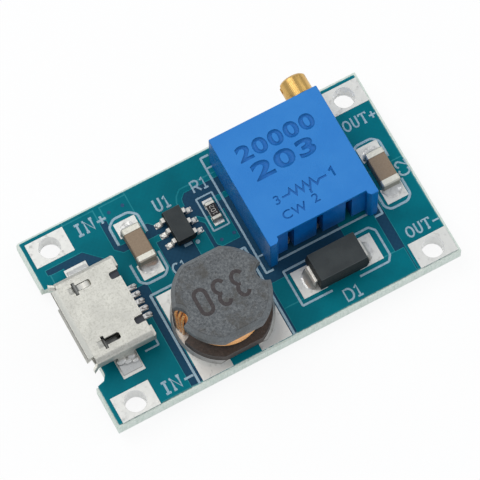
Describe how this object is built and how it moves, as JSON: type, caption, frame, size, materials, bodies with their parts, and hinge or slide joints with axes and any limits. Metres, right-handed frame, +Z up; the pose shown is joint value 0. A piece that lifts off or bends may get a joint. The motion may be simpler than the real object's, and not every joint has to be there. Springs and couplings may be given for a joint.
{
  "type": "boost converter module",
  "caption": "Small step-up voltage converter board with a micro USB input socket, a drum inductor, a screw trimmer lying flat and a plated hole in each corner.",
  "frame": {"origin": "centre of the four corner holes, on the underside of the board", "axes": "+X along the board to the output end, +Y to the edge that the adjusting screw looks over, +Z up out of the component side"},
  "size_m": [0.0302, 0.0176, 0.0072],
  "materials": {
    "board": "glossy solder mask over fibreglass laminate",
    "tinned_copper": "tinned, slightly uneven",
    "steel": "satin nickel plate on folded steel",
    "black_plastic": "moulded",
    "blue_plastic": "glossy moulding",
    "potting": "moulded",
    "brass": "turned",
    "rubber": "plain",
    "carriage_plastic": "moulded",
    "contact_metal": "plated spring strip",
    "alumina": "sintered",
    "ferrite": "sintered, fine grain",
    "copper_wire": "enamelled copper wire",
    "mould_compound": "moulded, fine grain",
    "capacitor_ceramic": "sintered",
    "resistor_ceramic": "glass coated",
    "tinned_lead": "matt tin plate",
    "solder": "smooth solder"
  },
  "bodies": {
    "module": {"board": "board", "component_lands": "tinned_copper", "usb_shell": "steel", "usb_insulator": "black_plastic", "trimmer_housing": "blue_plastic", "trimmer_base": "potting", "resistance_element": "alumina", "inductor_core": "ferrite", "inductor_coil": "copper_wire", "diode_body": "mould_compound", "chip_body": "mould_compound", "input_capacitor_body": "capacitor_ceramic", "output_capacitor_body": "capacitor_ceramic", "resistor_body": "resistor_ceramic", "input_plus_pad": "tinned_copper", "input_minus_pad": "tinned_copper", "output_plus_pad": "tinned_copper", "output_minus_pad": "tinned_copper", "usb_contact_1": "contact_metal", "usb_contact_2": "contact_metal", "usb_contact_3": "contact_metal", "usb_contact_4": "contact_metal", "usb_contact_5": "contact_metal", "trimmer_pin_1": "tinned_lead", "trimmer_pin_solder_1": "solder", "trimmer_pin_2": "tinned_lead", "trimmer_pin_solder_2": "solder", "trimmer_pin_3": "tinned_lead", "trimmer_pin_solder_3": "solder", "inductor_terminal_left": "tinned_lead", "inductor_solder_left": "solder", "diode_lead_left": "tinned_lead", "diode_solder_left": "solder", "inductor_terminal_right": "tinned_lead", "inductor_solder_right": "solder", "diode_lead_right": "tinned_lead", "diode_solder_right": "solder", "chip_lead_1": "tinned_lead", "chip_lead_2": "tinned_lead", "chip_lead_3": "tinned_lead", "chip_lead_4": "tinned_lead", "chip_lead_5": "tinned_lead", "chip_lead_6": "tinned_lead", "usb_tab_solder_near": "solder", "input_capacitor_end_near": "tinned_lead", "output_capacitor_end_near": "tinned_lead", "resistor_end_near": "tinned_lead", "input_capacitor_solder_near": "solder", "output_capacitor_solder_near": "solder", "usb_tab_solder_far": "solder", "input_capacitor_end_far": "tinned_lead", "output_capacitor_end_far": "tinned_lead", "resistor_end_far": "tinned_lead", "input_capacitor_solder_far": "solder", "output_capacitor_solder_far": "solder"},
    "adjuster": {"adjusting_screw": "brass", "screw_seal": "rubber"},
    "wiper": {"wiper_carriage": "carriage_plastic", "wiper_contact": "contact_metal"}
  },
  "joints": [
    {"name": "screw_turn", "type": "hinge", "parent": "module", "child": "adjuster", "pos_m": [0.00945, 0, 0.00516], "axis": [0, 1, 0], "range_deg": [-4526, 4526]},
    {"name": "wiper_slide", "type": "slide", "parent": "module", "child": "wiper", "axis": [0, 1, 0], "range_m": [-0.00225, 0.00225]}
  ],
  "couplings": [
    {"joint": "screw_turn", "follows": "wiper_slide", "rad_per_m": 34907}
  ]
}
